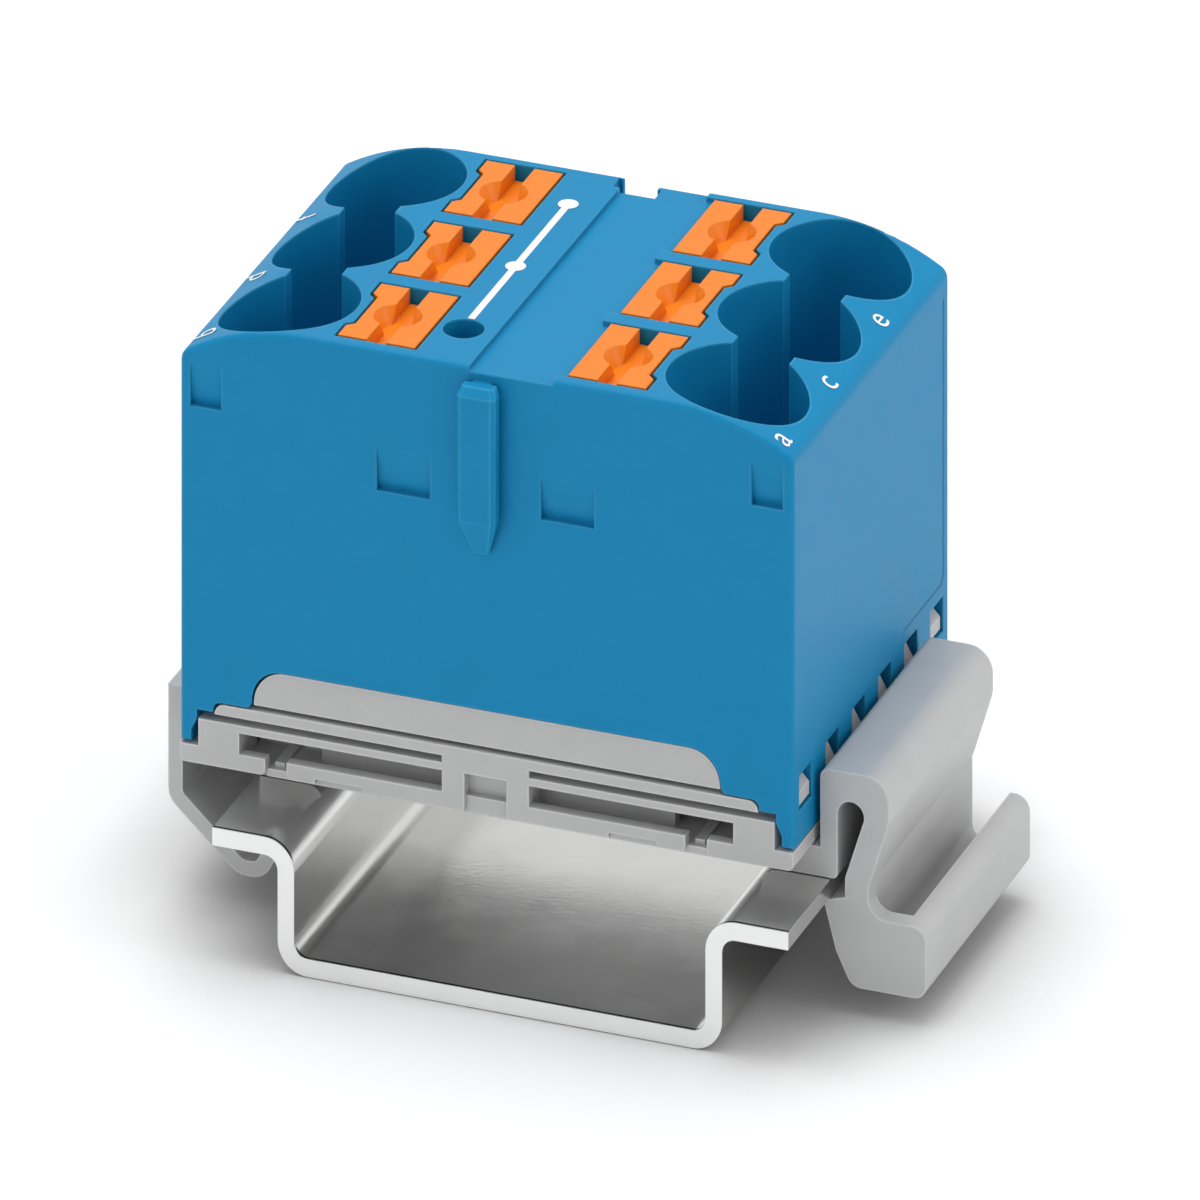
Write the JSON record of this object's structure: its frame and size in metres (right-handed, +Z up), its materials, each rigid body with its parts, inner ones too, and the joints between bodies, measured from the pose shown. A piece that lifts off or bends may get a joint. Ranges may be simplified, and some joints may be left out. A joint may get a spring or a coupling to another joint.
{
  "type": "power distribution block",
  "caption": "Low power distribution block with push-in points beside lever-free buttons, clipped to a short section of top-hat rail by a hook and a springy release foot",
  "frame": {"origin": "under the middle of the rail section, on the flat underside that it stands on", "axes": "+X across the rail toward the release foot, +Y along the rail toward the rear of the block, +Z up"},
  "size_m": [0.0462, 0.0324, 0.0346],
  "materials": {
    "housing_blue": "satin",
    "button_orange": "satin",
    "adapter_grey": "satin",
    "rail_steel": "bright zinc plated",
    "bar_metal": "tinned",
    "spring_steel": "bright"
  },
  "bodies": {
    "rail": {"din_rail": "rail_steel"},
    "block": {"housing": "housing_blue", "base_plate": "adapter_grey", "busbar": "bar_metal", "spring_frame_front": "spring_steel", "spring_frame_middle": "spring_steel", "spring_frame_rear": "spring_steel", "clamp_spring_a": "spring_steel", "clamp_spring_b": "spring_steel", "clamp_spring_c": "spring_steel", "clamp_spring_d": "spring_steel", "clamp_spring_e": "spring_steel", "clamp_spring_f": "spring_steel", "rail_adapter": "adapter_grey"},
    "foot": {"release_foot": "adapter_grey"},
    "button_a": {"push_button_a": "button_orange"},
    "button_b": {"push_button_b": "button_orange"},
    "button_c": {"push_button_c": "button_orange"},
    "button_d": {"push_button_d": "button_orange"},
    "button_e": {"push_button_e": "button_orange"},
    "button_f": {"push_button_f": "button_orange"}
  },
  "joints": [
    {"name": "rail_slide", "type": "slide", "parent": "rail", "child": "block", "axis": [0, 1, 0], "range_m": [-0.0065, 0.008]},
    {"name": "foot_flex", "type": "hinge", "parent": "block", "child": "foot", "pos_m": [0.01871, -0.00082, 0.01205], "axis": [0, -1, 0], "range_deg": [0, 6], "stiffness_Nm_per_rad": 4},
    {"name": "press_a", "type": "slide", "parent": "block", "child": "button_a", "axis": [0, 0, -1], "range_m": [0, 0.0018], "stiffness_N_per_m": 4000, "deforming": ["clamp_spring_a"]},
    {"name": "press_b", "type": "slide", "parent": "block", "child": "button_b", "axis": [0, 0, -1], "range_m": [0, 0.0018], "stiffness_N_per_m": 4000, "deforming": ["clamp_spring_b"]},
    {"name": "press_c", "type": "slide", "parent": "block", "child": "button_c", "axis": [0, 0, -1], "range_m": [0, 0.0018], "stiffness_N_per_m": 4000, "deforming": ["clamp_spring_c"]},
    {"name": "press_d", "type": "slide", "parent": "block", "child": "button_d", "axis": [0, 0, -1], "range_m": [0, 0.0018], "stiffness_N_per_m": 4000, "deforming": ["clamp_spring_d"]},
    {"name": "press_e", "type": "slide", "parent": "block", "child": "button_e", "axis": [0, 0, -1], "range_m": [0, 0.0018], "stiffness_N_per_m": 4000, "deforming": ["clamp_spring_e"]},
    {"name": "press_f", "type": "slide", "parent": "block", "child": "button_f", "axis": [0, 0, -1], "range_m": [0, 0.0018], "stiffness_N_per_m": 4000, "deforming": ["clamp_spring_f"]}
  ]
}
